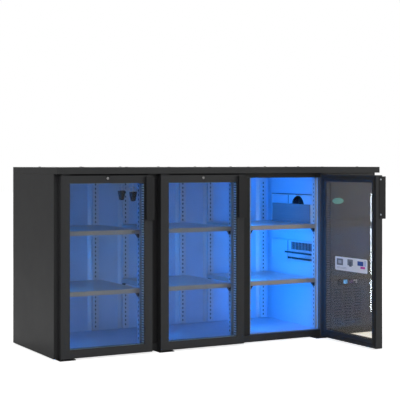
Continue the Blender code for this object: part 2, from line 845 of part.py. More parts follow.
def add_door(i):
    name = f"door_{i + 1}"
    x, side = hinge_axis(i)
    axis = bpy.data.objects.new(f"{name} hinge axis", None)
    bpy.context.scene.collection.objects.link(axis)
    axis.location = at(x, PIVOT_SETBACK, 0)
    if side < 0:
        axis.rotation_euler.z = OPEN_ANGLE

    def local(across, back, z):
        """From the door's hinge-side edge, its front face and the floor to the empty's frame."""
        return Vector((side * (across - PIVOT_INSET), back - PIVOT_SETBACK, z))

    frame = box(
        f"{name}_frame",
        local(0, 0, DOOR_LOW),
        local(DOOR_WIDTH, DOOR_THICKNESS, DOOR_HIGH),
        "door paint",
        axis,
    )
    window = box(
        f"{name} window",
        local(STILE, -0.01, DOOR_LOW + BOTTOM_RAIL),
        local(DOOR_WIDTH - STILE, DOOR_THICKNESS + 0.01, DOOR_HIGH - TOP_RAIL),
        None,
        axis,
    )
    groove = box(
        f"{name} groove",
        local(STILE - GLASS_BITE, GLASS_SETBACK - GAP, DOOR_LOW + BOTTOM_RAIL - GLASS_BITE),
        local(
            DOOR_WIDTH - STILE + GLASS_BITE,
            GLASS_SETBACK + GLASS_THICKNESS + GAP,
            DOOR_HIGH - TOP_RAIL + GLASS_BITE,
        ),
        None,
        axis,
    )
    hole_depth = PIN_LENGTH + 0.004
    hole = PIN_RADIUS + PIN_CLEARANCE
    pivot = local(PIVOT_INSET, PIVOT_SETBACK, 0)
    up = Vector((0, 0, 1))
    below, floor = pivot + up * (DOOR_LOW - 0.01), pivot + up * (DOOR_LOW + hole_depth)
    roof, above = pivot + up * (DOOR_HIGH - hole_depth), pivot + up * (DOOR_HIGH + 0.01)
    low_hole = cylinder(f"{name} low hole", below, floor, hole, None, axis, 16)
    high_hole = cylinder(f"{name} high hole", roof, above, hole, None, axis, 16)
    lock_z = DOOR_HIGH - LOCK_DROP
    lock_hole = cylinder(
        f"{name} lock hole",
        local(DOOR_WIDTH / 2, -0.01, lock_z),
        local(DOOR_WIDTH / 2, LOCK_LENGTH, lock_z),
        LOCK_RADIUS + GAP,
        None,
        axis,
        20,
    )
    cut(frame, window, groove, low_hole, high_hole, lock_hole)

    slack = 0.0005
    box(
        f"{name}_glass",
        local(STILE - GLASS_BITE + slack, GLASS_SETBACK, DOOR_LOW + BOTTOM_RAIL - GLASS_BITE + slack),
        local(
            DOOR_WIDTH - STILE + GLASS_BITE - slack,
            GLASS_SETBACK + GLASS_THICKNESS,
            DOOR_HIGH - TOP_RAIL + GLASS_BITE - slack,
        ),
        "glass",
        axis,
    )

    inset, band = GASKET_INSET, GASKET_INSET + GASKET_WIDTH
    gasket = box(
        f"{name}_gasket",
        local(inset, DOOR_THICKNESS + GAP, DOOR_LOW + inset),
        local(DOOR_WIDTH - inset, FRAME_SETBACK - GAP, DOOR_HIGH - inset),
        "rubber",
        axis,
    )
    cut(
        gasket,
        box(
            f"{name} gasket hole",
            local(band, 0, DOOR_LOW + band),
            local(DOOR_WIDTH - band, 0.1, DOOR_HIGH - band),
            None,
            axis,
        ),
    )

    lock = cylinder(
        f"{name}_lock",
        local(DOOR_WIDTH / 2, -LOCK_PROUD, lock_z),
        local(DOOR_WIDTH / 2, LOCK_LENGTH - 0.002, lock_z),
        LOCK_RADIUS,
        "chrome",
        axis,
        20,
    )
    slot = 0.0014
    cut(
        lock,
        box(
            f"{name} key slot",
            local(DOOR_WIDTH / 2 - slot / 2, -0.01, lock_z - 0.0045),
            local(DOOR_WIDTH / 2 + slot / 2, 0.006, lock_z + 0.0045),
            None,
            axis,
        ),
    )
    add_handle(name, local, axis)
    add_bracket(i, x, side)


def add_handle(name, local, axis):
    """Folded plate: a flange on the door's free edge, a front plate and a short lip, closed at both ends."""
    high = DOOR_HIGH - HANDLE_DROP
    low = high - HANDLE_HEIGHT
    edge = DOOR_WIDTH + GAP + HANDLE_SHEET
    inner = edge - HANDLE_WIDTH
    t = HANDLE_SHEET
    front = -HANDLE_REACH
    outline = (
        (edge, front),
        (edge, HANDLE_REACH),
        (edge - t, HANDLE_REACH),
        (edge - t, front + t),
        (inner + t, front + t),
        (inner + t, front + HANDLE_LIP),
        (inner, front + HANDLE_LIP),
        (inner, front),
    )
    handle = prism(
        f"{name}_handle",
        [local(across, back, 0).xy for across, back in outline],
        low,
        high,
        "black steel",
        axis,
    )
    for end, z in (("low", low), ("high", high - t)):
        weld(
            handle,
            box(
                f"{name} handle {end} end",
                local(inner + t / 2, front + t / 2, z),
                local(edge - t / 2, -GAP, z + t),
                None,
                axis,
            ),
        )


def add_bracket(i, x, side):
    """Bottom hinge: a plate under the base's front edge with a pin standing up into the door."""
    top = BASE_Z - GAP
    low = top - BRACKET_THICKNESS
    bracket = box(
        f"hinge_bracket_{i + 1}",
        at(x - side * (PIVOT_INSET + 0.006), -SHEET, low),
        at(x + side * (BRACKET_WIDTH - PIVOT_INSET - 0.006), FRAME_BACK, top),
        "black steel",
    )
    weld(
        bracket,
        cylinder(
            f"bottom pin {i + 1}",
            at(x, PIVOT_SETBACK, low + BRACKET_THICKNESS / 2),
            at(x, PIVOT_SETBACK, DOOR_LOW + PIN_LENGTH),
            PIN_RADIUS,
            sides=16,
        ),
    )


def main():
    for obj in list(bpy.data.objects):
        bpy.data.objects.remove(obj)
    add_skins()
    add_cap()
    add_foam()
    add_liner()
    add_front_header()
    add_mullions()
    add_uprights()
    add_shelves()
    add_lamps()
    add_evaporator()
    add_machine_panel()
    add_controller()
    add_condensing_unit()
    add_feet()
    for i in range(DOORS):
        add_door(i)


main()
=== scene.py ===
"""Looks of an undercounter refrigerator: a low cabinet with three glass doors, the third standing open.

Every place is given in the cabinet's own metres: x from its left side, y from the front of its lid
towards the back, and z up from the floor.
"""

import math

import bpy
from mathutils import Matrix, Vector


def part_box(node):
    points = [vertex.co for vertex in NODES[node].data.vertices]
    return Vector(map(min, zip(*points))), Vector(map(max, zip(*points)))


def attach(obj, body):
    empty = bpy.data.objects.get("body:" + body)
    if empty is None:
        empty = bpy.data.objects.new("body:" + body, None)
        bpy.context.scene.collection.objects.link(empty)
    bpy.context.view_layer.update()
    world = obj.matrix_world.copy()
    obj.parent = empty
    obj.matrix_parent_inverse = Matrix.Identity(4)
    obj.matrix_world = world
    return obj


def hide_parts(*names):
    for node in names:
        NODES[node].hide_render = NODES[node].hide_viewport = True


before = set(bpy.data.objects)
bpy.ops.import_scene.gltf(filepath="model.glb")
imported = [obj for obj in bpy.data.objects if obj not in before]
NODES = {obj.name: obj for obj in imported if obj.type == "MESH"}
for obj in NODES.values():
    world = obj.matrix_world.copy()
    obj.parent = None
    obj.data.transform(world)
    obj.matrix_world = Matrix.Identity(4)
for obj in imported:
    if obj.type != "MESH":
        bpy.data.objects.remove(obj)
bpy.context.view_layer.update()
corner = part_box("top_cap")[0]

DOORS = (1, 2, 3)
DOOR_WIDTH = 0.474
DOOR_LEFT = {1: 0.0212, 2: 0.5412}
OPEN_DOOR_FACE = 1.5352  # the open door's outer face stands across x here
OPEN_DOOR_HINGE = 0.012  # and its hinge edge is at this y
PLANES = (-0.0018, 0.5182, 1.0382, 1.5582)  # planes between the compartments
UPRIGHT_REACH = 0.0588  # from such a plane to the side of an upright


def at(x, y, z):
    return Vector((corner.x + x, corner.y + y, z))


def door_at(door, along, depth, z):
    """A point of a door: along its width from its hinge edge, and back from its outer face."""
    if door == 3:
        return at(OPEN_DOOR_FACE - depth, OPEN_DOOR_HINGE - along, z)
    return at(DOOR_LEFT[door] + along, depth, z)


# Modelling


def start():
    """Object mode, with nothing selected."""
    if bpy.context.object and bpy.context.object.mode != "OBJECT":
        bpy.ops.object.mode_set(mode="OBJECT")
    for obj in bpy.context.selected_objects:
        obj.select_set(False)


def only(obj):
    start()
    obj.select_set(True)
    bpy.context.view_layer.objects.active = obj
    return obj


def settle(obj):
    """Puts the object's place and size into its mesh."""
    only(obj)
    bpy.ops.object.transform_apply(location=True, rotation=True, scale=True)
    return obj


def soften(obj, width, segments=2, sharp=40):
    """Rounds the sharp edges and shades the rest smooth."""
    only(obj)
    bpy.ops.object.mode_set(mode="EDIT")
    bpy.ops.mesh.select_mode(type="EDGE")
    bpy.ops.mesh.select_all(action="DESELECT")
    bpy.ops.mesh.edges_select_sharp(sharpness=math.radians(sharp))
    bpy.ops.mesh.bevel(offset=width, offset_type="OFFSET", segments=segments, affect="EDGES")
    bpy.ops.object.mode_set(mode="OBJECT")
    bpy.ops.object.shade_smooth_by_angle(angle=math.radians(20))
    return obj


def select_faces(obj, wanted):
    """Edit mode with only those faces selected that wanted(centre, normal) names."""
    only(obj)
    for poly in obj.data.polygons:
        poly.select = False
    for edge in obj.data.edges:
        edge.select = False
    for vert in obj.data.vertices:
        vert.select = False
    for poly in obj.data.polygons:
        poly.select = bool(wanted(poly.center, poly.normal))
    bpy.ops.object.mode_set(mode="EDIT")
    bpy.ops.mesh.select_mode(type="FACE")


def block(name, low, high, width=0.0008, segments=2):
    """A block between two corners with its edges rounded."""
    low, high = Vector(map(min, low, high)), Vector(map(max, low, high))
    start()
    bpy.ops.mesh.primitive_cube_add(size=1, location=(low + high) / 2, scale=high - low)
    obj = bpy.context.object
    obj.name = name
    settle(obj)
    if width:
        soften(obj, width, segments)
    return obj


def rod(name, begin, end, radius, width=0.0005, sides=28, second=None):
    """A round bar, or a cone where a second radius is given, with its rims rounded."""
    begin, end = Vector(begin), Vector(end)
    turn = Vector((0, 0, 1)).rotation_difference(end - begin).to_euler()
    start()
    bpy.ops.mesh.primitive_cone_add(
        vertices=sides,
        radius1=radius,
        radius2=radius if second is None else second,
        depth=(end - begin).length,
        location=(begin + end) / 2,
        rotation=turn,
    )
    obj = bpy.context.object
    obj.name = name
    settle(obj)
    if width:
        soften(obj, width, 2, 50)
    return obj


def ring(name, centre, axis, radius, thickness, sides=40, around=10):
    start()
    turn = Vector((0, 0, 1)).rotation_difference(Vector(axis)).to_euler()
    bpy.ops.mesh.primitive_torus_add(
        major_radius=radius,
        minor_radius=thickness,
        major_segments=sides,
        minor_segments=around,
        location=centre,
        rotation=turn,
    )
    obj = bpy.context.object
    obj.name = name
    settle(obj)
    bpy.ops.object.shade_smooth()
    return obj


def together(name, pieces):
    """Several shapes as one object."""
    start()
    for piece in pieces:
        piece.select_set(True)
    bpy.context.view_layer.objects.active = pieces[0]
    if len(pieces) > 1:
        bpy.ops.object.join()
    obj = bpy.context.object
    obj.name = name
    return obj


def another(obj, name, offset=(0, 0, 0), matrix=None):
    """A copy with its own mesh, moved or turned by its mesh."""
    new = obj.copy()
    new.data = obj.data.copy()
    new.name = name
    bpy.context.scene.collection.objects.link(new)
    new.data.transform(matrix or Matrix.Translation(Vector(offset)))
    return new


def carve(obj, cutters):
    """Cuts the joined cutters out of a piece."""
    tool = together("cutter", cutters)
    only(obj)
    step = obj.modifiers.new("carve", "BOOLEAN")
    step.operation = "DIFFERENCE"
    step.solver = "EXACT"
    step.object = tool
    bpy.ops.object.modifier_apply(modifier=step.name)
    bpy.data.objects.remove(tool)
    return obj


def shaped(node, width, cutters=(), segments=2):
    """The CAD piece with its faces merged, its cutters carved out and its folds rounded."""
    obj = NODES[node].copy()
    obj.data = NODES[node].data.copy()
    obj.parent = None
    obj.matrix_world = Matrix.Identity(4)
    obj.name = f"{node}_shaped"
    for key in list(obj.keys()):
        del obj[key]
    bpy.context.scene.collection.objects.link(obj)
    only(obj)
    bpy.ops.object.mode_set(mode="EDIT")
    bpy.ops.mesh.select_all(action="SELECT")
    bpy.ops.mesh.remove_doubles(threshold=1e-5)
    bpy.ops.mesh.dissolve_limited(angle_limit=math.radians(1))
    bpy.ops.object.mode_set(mode="OBJECT")
    if cutters:
        carve(obj, list(cutters))
    only(obj)
    if width:
        step = obj.modifiers.new("rounded folds", "BEVEL")
        step.width = width
        step.segments = segments
        step.limit_method = "ANGLE"
        step.angle_limit = math.radians(35)
        bpy.ops.object.modifier_apply(modifier=step.name)
    bpy.ops.object.shade_smooth_by_angle(angle=math.radians(20))
    return obj


def finish(obj, body, slot, material, *replaced):
    obj.data.materials.clear()
    obj.data.materials.append(material)
    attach(obj, body)
    if replaced:
        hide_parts(*replaced)
    return obj


# Materials


class Nodes:
    """Short ways to place and join shader nodes."""

    def __init__(self, tree):
        self.tree = tree

    def add(self, kind, **settings):
        node = self.tree.nodes.new(kind)
        for name, value in settings.items():
            setattr(node, name, value)
        return node

    def join(self, output, to):
        self.tree.links.new(output, to)

    def noise(self, vector, scale, detail=3.0, roughness=0.5):
        node = self.add("ShaderNodeTexNoise")
        node.inputs["Scale"].default_value = scale
        node.inputs["Detail"].default_value = detail
        node.inputs["Roughness"].default_value = roughness
        self.join(vector, node.inputs["Vector"])
        return node.outputs["Fac"]

    def maths(self, operation, first, second=None, clamp=False):
        node = self.add("ShaderNodeMath", operation=operation, use_clamp=clamp)
        for n, value in enumerate((first, second)):
            if value is None:
                continue
            if isinstance(value, (int, float)):
                node.inputs[n].default_value = value
            else:
                self.join(value, node.inputs[n])
        return node.outputs[0]

    def about(self, base, value, middle, share):
        """The base, moved by a share of how far the value is from its middle."""
        off = self.maths("SUBTRACT", value, middle)
        return self.maths("ADD", base, self.maths("MULTIPLY", off, share))

    def spread(self, value, low, high, to_low=0.0, to_high=1.0):
        node = self.add("ShaderNodeMapRange", interpolation_type="SMOOTHSTEP")
        self.join(value, node.inputs["Value"])
        for name, number in zip(("From Min", "From Max", "To Min", "To Max"), (low, high, to_low, to_high)):
            if isinstance(number, (int, float)):
                node.inputs[name].default_value = number
            else:
                self.join(number, node.inputs[name])
        return node.outputs["Result"]

    def mix(self, factor, first, second):
        node = self.add("ShaderNodeMix", data_type="RGBA")
        sockets = [s for s in node.inputs if s.type == "RGBA"]
        number = [s for s in node.inputs if s.name == "Factor" and s.type == "VALUE"][0]
        if isinstance(factor, (int, float)):
            number.default_value = factor
        else:
            self.join(factor, number)
        for socket, colour in zip(sockets, (first, second)):
            if isinstance(colour, (tuple, list)):
                socket.default_value = (*colour, 1.0) if len(colour) == 3 else colour
            else:
                self.join(colour, socket)
        return [s for s in node.outputs if s.type == "RGBA"][0]

    def stretched(self, scale):
        place = self.add("ShaderNodeTexCoord")
        mapping = self.add("ShaderNodeMapping")
        mapping.inputs["Scale"].default_value = scale
        self.join(place.outputs["Object"], mapping.inputs["Vector"])
        return mapping.outputs["Vector"]


def group(name, ins, outs, build):
    """A shader node group with named inputs and outputs."""
    tree = bpy.data.node_groups.new(name, "ShaderNodeTree")
    for title, kind, default in ins:
        socket = tree.interface.new_socket(title, in_out="INPUT", socket_type=kind)
        socket.default_value = default
    for title, kind in outs:
        tree.interface.new_socket(title, in_out="OUTPUT", socket_type=kind)
    nodes = Nodes(tree)
    build(nodes, nodes.add("NodeGroupInput").outputs, nodes.add("NodeGroupOutput").inputs)
    return tree


def build_powder_coat(nodes, ins, outs):
    """Fine orange-peel of a baked coat, cloudy changes of shade, and thin dust on what faces up."""
    here = nodes.stretched((1, 1, 1))
    peel = nodes.noise(here, 1500, 2.0)
    wave = nodes.noise(here, 330, 2.0)
    cloud = nodes.noise(here, 7, 4.0, 0.6)
    height = nodes.maths("ADD", nodes.maths("MULTIPLY", peel, 0.6), nodes.maths("MULTIPLY", wave, 0.4))
    normal = nodes.add("ShaderNodeNewGeometry").outputs["Normal"]
    parts = nodes.add("ShaderNodeSeparateXYZ")
    nodes.join(normal, parts.inputs[0])
    up = nodes.spread(parts.outputs["Z"], 0.5, 0.95)
    speck = nodes.spread(nodes.noise(here, 260, 3.0, 0.7), 0.55, 0.75)
    dust = nodes.maths("MULTIPLY", up, nodes.maths("ADD", nodes.maths("MULTIPLY", speck, 0.6), 0.4))
    dust = nodes.maths("MULTIPLY", dust, ins["Dust"], clamp=True)
    light = nodes.mix(ins["Cloud"], ins["Colour"], ins["Paler"])
    cloudy = nodes.maths("MULTIPLY", nodes.spread(cloud, 0.3, 0.7), ins["Cloud"])
    shade = nodes.mix(cloudy, ins["Colour"], light)
    nodes.join(nodes.mix(dust, shade, (0.32, 0.31, 0.30)), outs["Colour"])
    rough = nodes.about(ins["Roughness"], cloud, 0.5, 0.16)
    nodes.join(nodes.maths("ADD", rough, nodes.maths("MULTIPLY", dust, 0.35), clamp=True), outs["Roughness"])
    nodes.join(height, outs["Height"])


def build_brushed(nodes, ins, outs):
    """Long fine lines along x and y, with smudges."""
    along = nodes.noise(nodes.stretched((9, 9, 2600)), 1.0, 3.0, 0.6)
    wide = nodes.noise(nodes.stretched((2, 2, 700)), 1.0, 2.0)
    smudge = nodes.noise(nodes.stretched((1, 1, 1)), 9, 4.0, 0.65)
    lines = nodes.maths("ADD", nodes.maths("MULTIPLY", along, 0.7), nodes.maths("MULTIPLY", wide, 0.3))
    nodes.join(nodes.mix(nodes.spread(lines, 0.3, 0.7), ins["Darker"], ins["Colour"]), outs["Colour"])
    rough = nodes.about(ins["Roughness"], smudge, 0.45, 0.35)
    nodes.join(nodes.maths("ADD", rough, nodes.maths("MULTIPLY", lines, 0.08), clamp=True), outs["Roughness"])
    nodes.join(lines, outs["Height"])


def build_spangle(nodes, ins, outs):
    """Crystal flakes of a zinc coat."""
    here = nodes.stretched((1, 1, 1))
    flakes = nodes.add("ShaderNodeTexVoronoi")
    flakes.inputs["Scale"].default_value = 130
    nodes.join(here, flakes.inputs["Vector"])
    parts = nodes.add("ShaderNodeSeparateColor")
    nodes.join(flakes.outputs["Color"], parts.inputs[0])
    flake = parts.outputs[0]
    haze = nodes.noise(here, 24, 4.0, 0.6)
    nodes.join(nodes.mix(flake, ins["Darker"], ins["Colour"]), outs["Colour"])
    rough = nodes.about(ins["Roughness"], flake, 0.5, 0.12)
    nodes.join(nodes.maths("ADD", rough, nodes.maths("MULTIPLY", haze, 0.15), clamp=True), outs["Roughness"])
    nodes.join(flake, outs["Height"])


def build_moulded(nodes, ins, outs):
    """Fine texture of a moulded skin, with paler rubbed patches."""
    here = nodes.stretched((1, 1, 1))
    grain = nodes.noise(here, 900, 3.0, 0.6)
    rub = nodes.spread(nodes.noise(here, 45, 4.0, 0.6), 0.5, 0.75)
    nodes.join(nodes.mix(nodes.maths("MULTIPLY", rub, 0.5), ins["Colour"], ins["Paler"]), outs["Colour"])
    rough = nodes.maths("ADD", ins["Roughness"], nodes.maths("MULTIPLY", rub, 0.12), clamp=True)
    nodes.join(rough, outs["Roughness"])
    nodes.join(grain, outs["Height"])


COLOUR, NUMBER = "NodeSocketColor", "NodeSocketFloat"
SURFACE = (("Colour", COLOUR), ("Roughness", NUMBER), ("Height", NUMBER))
BLACK = (0.0, 0.0, 0.0, 1.0)
GROUPS = {
    "powder coat": group(
        "powder coat",
        (
            ("Colour", COLOUR, BLACK),
            ("Paler", COLOUR, BLACK),
            ("Roughness", NUMBER, 0.4),
            ("Cloud", NUMBER, 0.5),
            ("Dust", NUMBER, 0.1),
        ),
        SURFACE,
        build_powder_coat,
    ),
    "brushed lines": group(
        "brushed lines",
        (("Colour", COLOUR, BLACK), ("Darker", COLOUR, BLACK), ("Roughness", NUMBER, 0.3)),
        SURFACE,
        build_brushed,
    ),
    "zinc flakes": group(
        "zinc flakes",
        (("Colour", COLOUR, BLACK), ("Darker", COLOUR, BLACK), ("Roughness", NUMBER, 0.4)),
        SURFACE,
        build_spangle,
    ),
    "moulded skin": group(
        "moulded skin",
        (("Colour", COLOUR, BLACK), ("Paler", COLOUR, BLACK), ("Roughness", NUMBER, 0.4)),
        SURFACE,
        build_moulded,
    ),
}


def plain(name):
    """A material with only its shader, and short ways to add to it."""
    made = bpy.data.materials.new(name)
    made.use_nodes = True
    return made, Nodes(made.node_tree), made.node_tree.nodes["Principled BSDF"]


def surface(name, effect, values, metallic=0.0, bump=0.1, distance=0.0004, **fixed):
    """A finish whose colour, roughness and relief come from one of the groups."""
    made, nodes, shader = plain(name)
    node = nodes.add("ShaderNodeGroup", node_tree=GROUPS[effect])
    for title, value in values.items():
        node.inputs[title].default_value = (*value, 1.0) if isinstance(value, tuple) else value
    nodes.join(node.outputs["Colour"], shader.inputs["Base Color"])
    nodes.join(node.outputs["Roughness"], shader.inputs["Roughness"])
    relief = nodes.add("ShaderNodeBump")
    relief.inputs["Strength"].default_value = bump
    relief.inputs["Distance"].default_value = distance
    nodes.join(node.outputs["Height"], relief.inputs["Height"])
    nodes.join(relief.outputs["Normal"], shader.inputs["Normal"])
    shader.inputs["Metallic"].default_value = metallic
    for title, value in fixed.items():
        shader.inputs[title.replace("_", " ")].default_value = value
    return made


def coat(name, colour, paler, roughness, cloud, dust, **rest):
    """A powder coat with its shade, its cloudiness and its dust."""
    values = {"Colour": colour, "Paler": paler, "Roughness": roughness, "Cloud": cloud, "Dust": dust}
    return surface(name, "powder coat", values, **rest)


def glass_finish(name, tint, clear, bending):
    """Glass with a grey haze as strong as it is less than clear, and faint wipe marks."""
    made, nodes, shader = plain(name)
    here = nodes.stretched((1, 1, 1))
    wipe = nodes.spread(nodes.noise(here, 11, 4.0, 0.6), 0.45, 0.8)
    smeared = tuple(0.97 * share for share in tint)
    nodes.join(nodes.mix(wipe, tint, smeared), shader.inputs["Base Color"])
    shader.inputs["Roughness"].default_value = 0.0
    shader.inputs["Transmission Weight"].default_value = clear
    shader.inputs["IOR"].default_value = bending
    return made


def lamp_finish():
    """Frosted cover lit from behind by a row of small lamps."""
    made, nodes, shader = plain("lit lamp cover")
    place = nodes.add("ShaderNodeTexCoord")
    parts = nodes.add("ShaderNodeSeparateXYZ")
    nodes.join(place.outputs["Object"], parts.inputs[0])
    beat = nodes.maths("SINE", nodes.maths("MULTIPLY", parts.outputs["Z"], 2 * math.pi / 0.0167))
    glow = nodes.spread(beat, -1.0, 1.0)
    path = nodes.add("ShaderNodeLightPath").outputs
    mirrored = nodes.maths("MAXIMUM", path["Is Camera Ray"], path["Is Singular Ray"])
    blue = nodes.mix(glow, (0.10, 0.40, 1.0), (0.20, 0.55, 1.0))
    white = nodes.mix(glow, (0.80, 0.92, 1.0), (0.92, 0.97, 1.0))
    nodes.join(nodes.mix(mirrored, blue, white), shader.inputs["Emission Color"])
    strength = nodes.maths("ADD", nodes.maths("MULTIPLY", mirrored, 30.0), 7.0)
    nodes.join(strength, shader.inputs["Emission Strength"])
    nodes.join(nodes.mix(glow, (0.75, 0.80, 0.85), (0.85, 0.90, 0.95)), shader.inputs["Base Color"])
    shader.inputs["Roughness"].default_value = 0.5
    return made


def spacer_finish(name, bar):
    """Aluminium spacer bar with a row of small holes to its drying beads."""
    made, nodes, shader = plain(name)
    place = nodes.add("ShaderNodeTexCoord")
    parts = nodes.add("ShaderNodeSeparateXYZ")
    nodes.join(place.outputs["Object"], parts.inputs[0])
    rows = []
    for axis in ("Z", "X", "Y"):
        turn = nodes.maths("MULTIPLY", parts.outputs[axis], 2 * math.pi / 0.0125)
        rows.append(nodes.spread(nodes.maths("SINE", turn), 0.45, 0.75))
    hole = nodes.maths("MULTIPLY", rows[0], nodes.maths("MAXIMUM", rows[1], rows[2]))
    upright = nodes.maths("MAXIMUM", rows[0], hole)
    nodes.join(nodes.mix(upright, bar, tuple(0.2 * share for share in bar)), shader.inputs["Base Color"])
    nodes.join(nodes.maths("ADD", nodes.maths("MULTIPLY", upright, 0.4), 0.3), shader.inputs["Roughness"])
    shader.inputs["Metallic"].default_value = 0.6
    return made


def label_finish(origin, size):
    """A printed card with plain colour fields and picture-like blocks, and no lettering."""
    made, nodes, shader = plain("printed card")
    place = nodes.add("ShaderNodeTexCoord")
    mapping = nodes.add("ShaderNodeMapping")
    mapping.inputs["Location"].default_value = -origin
    nodes.join(place.outputs["Object"], mapping.inputs["Vector"])
    parts = nodes.add("ShaderNodeSeparateXYZ")
    nodes.join(mapping.outputs["Vector"], parts.inputs[0])
    across = nodes.maths("DIVIDE", parts.outputs["Y"], -size[0])
    up = nodes.maths("DIVIDE", parts.outputs["Z"], size[1])

    def between(value, low, high):
        above = nodes.maths("GREATER_THAN", value, low)
        return nodes.maths("MULTIPLY", above, nodes.maths("LESS_THAN", value, high))

    fibre = nodes.noise(nodes.stretched((1, 1, 1)), 300, 2.0)
    colour = nodes.mix(fibre, (0.88, 0.88, 0.88), (0.94, 0.94, 0.94))
    fields = (
        (0.05, 0.25, 0.38, 0.86, (0.20, 0.21, 0.22)),
        (0.10, 0.20, 0.50, 0.74, (0.50, 0.52, 0.54)),
        (0.39, 0.56, 0.44, 0.88, (0.24, 0.25, 0.26)),
        (0.44, 0.52, 0.36, 0.72, (0.13, 0.13, 0.14)),
        (0.70, 0.88, 0.50, 0.82, (0.04, 0.08, 0.32)),
        (0.90, 0.96, 0.50, 0.90, (0.55, 0.62, 0.78)),
        (0.79, 0.93, 0.30, 0.46, (0.70, 0.06, 0.38)),
        (0.05, 0.36, 0.22, 0.25, (0.50, 0.50, 0.50)),
        (0.05, 0.36, 0.14, 0.17, (0.50, 0.50, 0.50)),
    )
    for x0, x1, z0, z1, paint in fields:
        inside = nodes.maths("MULTIPLY", between(across, x0, x1), between(up, z0, z1))
        colour = nodes.mix(inside, colour, paint)
    nodes.join(colour, shader.inputs["Base Color"])
    nodes.join(nodes.maths("ADD", nodes.maths("MULTIPLY", across, 0.05), 0.35), shader.inputs["Roughness"])
    return made


def display_finish(name, dark, lit, strength):
    """A window with an uneven glow behind it."""
    made, nodes, shader = plain(name)
    here = nodes.stretched((1, 1, 1))
    glow = nodes.spread(nodes.noise(here, 95, 1.0), 0.40, 0.64)
    nodes.join(nodes.mix(glow, dark, lit), shader.inputs["Emission Color"])
    nodes.join(nodes.mix(glow, (0.01, 0.01, 0.02), (0.03, 0.03, 0.08)), shader.inputs["Base Color"])
    shader.inputs["Emission Strength"].default_value = strength
    shader.inputs["Roughness"].default_value = 0.12
    return made


PAINT = coat(
    "anthracite cabinet coat", (0.026, 0.027, 0.028), (0.036, 0.037, 0.038), 0.42, 0.6, 0.16, bump=0.12
)
DOOR_PAINT = coat(
    "anthracite door coat", (0.028, 0.029, 0.031), (0.040, 0.041, 0.043), 0.36, 0.5, 0.10, bump=0.10
)
PANEL_PAINT = coat(
    "grey machine panel coat", (0.080, 0.080, 0.078), (0.100, 0.100, 0.097), 0.42, 0.5, 0.10, bump=0.12
)
BLACK_STEEL = coat(
    "black coat", (0.010, 0.010, 0.011), (0.016, 0.016, 0.017), 0.40, 0.5, 0.06, bump=0.10
)
LINER_STEEL = surface(
    "brushed lining",
    "brushed lines",
    {"Colour": (0.50, 0.66, 0.82), "Darker": (0.45, 0.61, 0.77), "Roughness": 0.40},
    metallic=0.45,
    bump=0.05,
    distance=0.0002,
)
ZINC = surface(
    "zinc sheet",
    "zinc flakes",
    {"Colour": (0.60, 0.66, 0.72), "Darker": (0.56, 0.62, 0.68), "Roughness": 0.36},
    metallic=0.55,
    bump=0.05,
    distance=0.0002,
)
SHELF_COAT = coat(
    "grey shelf coat",
    (0.46, 0.45, 0.44),
    (0.54, 0.53, 0.52),
    0.30,
    0.6,
    0.06,
    metallic=0.45,
    bump=0.08,
)
# A darker, greyer copy of the lining steel for the cooler's deflector: painted shade.
SHADED_STEEL = surface(
    "brushed steel darkened as painted shade",
    "brushed lines",
    {"Colour": (0.24, 0.24, 0.27), "Darker": (0.19, 0.19, 0.22), "Roughness": 0.34},
    metallic=0.3,
    bump=0.05,
    distance=0.0002,
)
ALUMINIUM = surface(
    "aluminium",
    "brushed lines",
    {"Colour": (0.78, 0.79, 0.80), "Darker": (0.60, 0.61, 0.63), "Roughness": 0.30},
    metallic=0.9,
    bump=0.05,
)
CHROME = surface(
    "plated lock",
    "brushed lines",
    {"Colour": (0.80, 0.80, 0.80), "Darker": (0.66, 0.66, 0.66), "Roughness": 0.14},
    metallic=1.0,
    bump=0.02,
)
PLASTIC = surface(
    "black moulding",
    "moulded skin",
    {"Colour": (0.014, 0.014, 0.015), "Paler": (0.026, 0.026, 0.027), "Roughness": 0.42},
    bump=0.12,
    distance=0.0002,
)
RUBBER = surface(
    "gasket rubber",
    "moulded skin",
    {"Colour": (0.018, 0.018, 0.018), "Paler": (0.030, 0.030, 0.030), "Roughness": 0.62},
    bump=0.15,
    distance=0.0002,
)
FOAM = surface(
    "poured foam",
    "moulded skin",
    {"Colour": (0.62, 0.50, 0.24), "Paler": (0.70, 0.60, 0.34), "Roughness": 0.85},
    bump=0.4,
    distance=0.001,
)
ENAMEL = surface(
    "turquoise enamel",
    "moulded skin",
    {"Colour": (0.20, 0.66, 0.58), "Paler": (0.30, 0.76, 0.68), "Roughness": 0.30},
    bump=0.03,
    distance=0.0002,
)
WHITE_PLASTIC = surface(
    "white moulding",
    "moulded skin",
    {"Colour": (0.70, 0.72, 0.74), "Paler": (0.80, 0.82, 0.84), "Roughness": 0.35},
    bump=0.05,
    distance=0.0002,
)
GLASS = glass_finish("clear glass", (0.93, 0.95, 0.96), 0.998, 1.22)
HAZY_GLASS = glass_finish("hazy glass", (0.95, 0.92, 0.85), 0.97, 1.20)
LAMP = lamp_finish()
# The spacer's pale blue is painted blue lamplight on the aluminium; the open door's copy is darkened as
# painted shade.
BLUE_LIT_SPACER = spacer_finish("perforated spacer", (0.55, 0.78, 0.92))
SHADED_SPACER = spacer_finish("perforated spacer darkened as painted shade", (0.15, 0.15, 0.15))
DISPLAY = display_finish("lit window", (0.05, 0.24, 0.62), (0.14, 0.42, 0.95), 1.1)
DIM_DISPLAY = display_finish("dim window", (0.01, 0.01, 0.03), (0.16, 0.08, 0.22), 0.6)


# Cabinet


